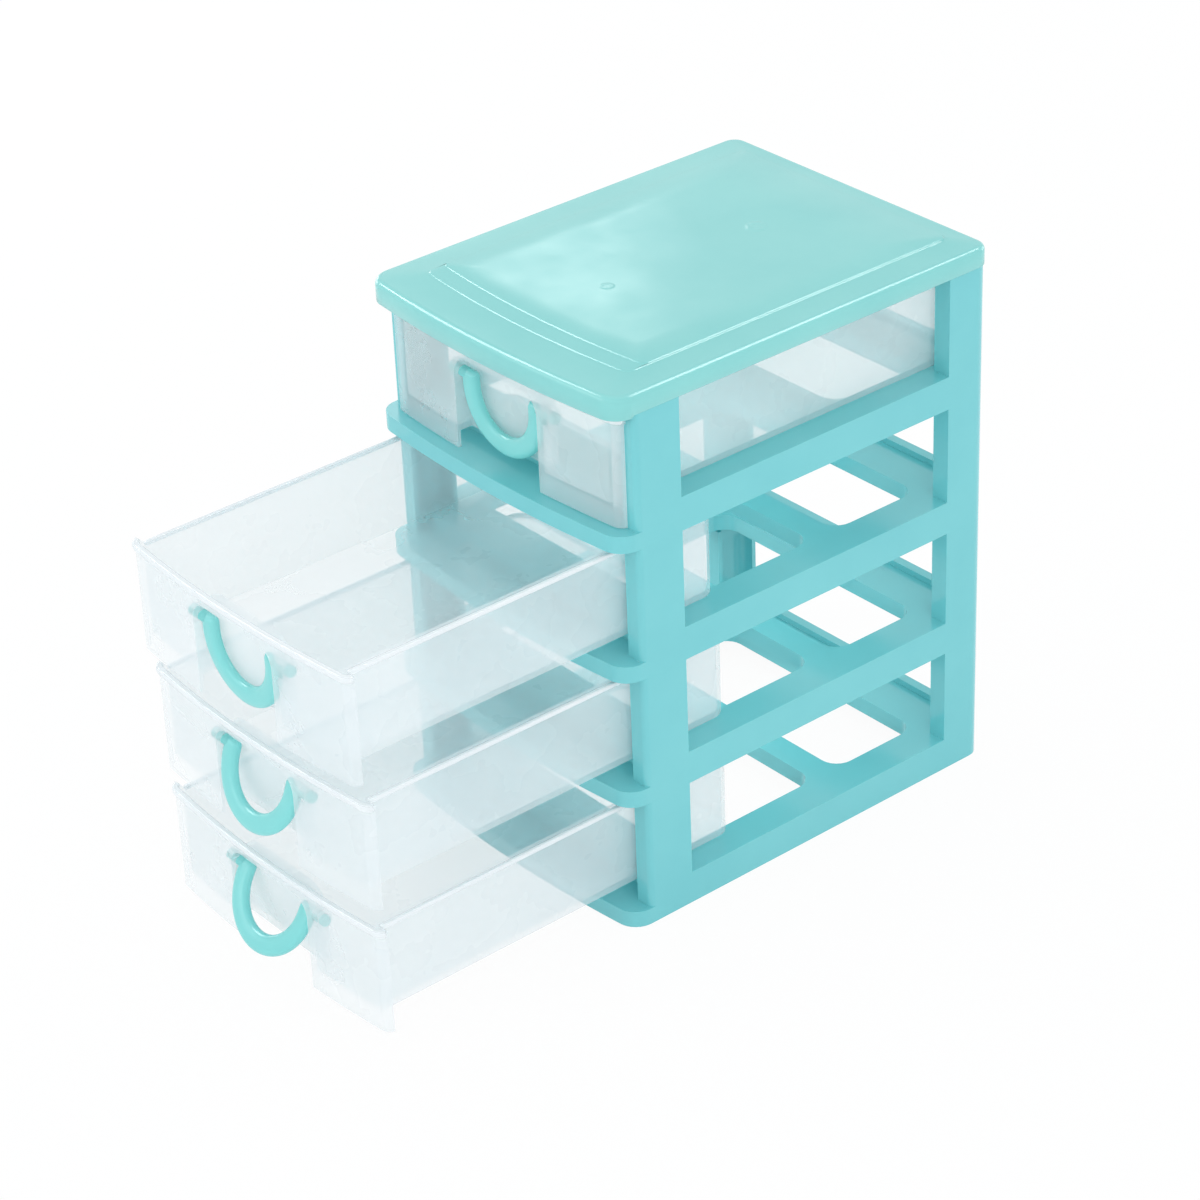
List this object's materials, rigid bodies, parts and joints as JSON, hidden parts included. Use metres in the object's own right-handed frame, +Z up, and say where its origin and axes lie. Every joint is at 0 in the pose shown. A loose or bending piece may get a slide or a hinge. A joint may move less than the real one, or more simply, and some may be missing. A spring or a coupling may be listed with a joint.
{
  "type": "desktop mini drawers",
  "caption": "Small desktop drawer tower: stacked open frames with bowed fronts under a lid, each holding a frosted sliding drawer with a swinging arch handle.",
  "frame": {"origin": "under the middle of the object's box as posed, on the surface it stands on", "axes": "+X to the right seen from the front, +Y from the front to the back, +Z up; the drawers open towards -Y"},
  "size_m": [0.145, 0.3148, 0.2293],
  "materials": {
    "frame_plastic": "glossy aqua moulded plastic",
    "lid_plastic": "glossy aqua moulded plastic",
    "handle_plastic": "glossy aqua moulded plastic",
    "drawer_plastic": "frosted translucent milky plastic"
  },
  "bodies": {
    "tower": {"frame_1": "frame_plastic", "frame_2": "frame_plastic", "frame_3": "frame_plastic", "frame_4": "frame_plastic", "lid": "lid_plastic"},
    "drawer_1": {"drawer_1": "drawer_plastic"},
    "drawer_2": {"drawer_2": "drawer_plastic"},
    "drawer_3": {"drawer_3": "drawer_plastic"},
    "drawer_4": {"drawer_4": "drawer_plastic"},
    "handle_1": {"handle_1": "handle_plastic"},
    "handle_2": {"handle_2": "handle_plastic"},
    "handle_3": {"handle_3": "handle_plastic"},
    "handle_4": {"handle_4": "handle_plastic"}
  },
  "joints": [
    {"name": "drawer_1_slide", "type": "slide", "parent": "tower", "child": "drawer_1", "axis": [0, -1, 0], "range_m": [0, 0.145]},
    {"name": "drawer_2_slide", "type": "slide", "parent": "tower", "child": "drawer_2", "axis": [0, -1, 0], "range_m": [-0.124, 0.021]},
    {"name": "drawer_3_slide", "type": "slide", "parent": "tower", "child": "drawer_3", "axis": [0, -1, 0], "range_m": [-0.12, 0.025]},
    {"name": "drawer_4_slide", "type": "slide", "parent": "tower", "child": "drawer_4", "axis": [0, -1, 0], "range_m": [-0.119, 0.026]},
    {"name": "handle_1_hinge", "type": "hinge", "parent": "drawer_1", "child": "handle_1", "pos_m": [0, -0.02325, 0.2035], "axis": [-1, 0, 0], "range_deg": [0, 90]},
    {"name": "handle_2_hinge", "type": "hinge", "parent": "drawer_2", "child": "handle_2", "pos_m": [0, -0.14725, 0.1485], "axis": [-1, 0, 0], "range_deg": [0, 90]},
    {"name": "handle_3_hinge", "type": "hinge", "parent": "drawer_3", "child": "handle_3", "pos_m": [0, -0.14325, 0.0935], "axis": [-1, 0, 0], "range_deg": [-20, 70]},
    {"name": "handle_4_hinge", "type": "hinge", "parent": "drawer_4", "child": "handle_4", "pos_m": [0, -0.14225, 0.0385], "axis": [-1, 0, 0], "range_deg": [-30, 60]}
  ]
}
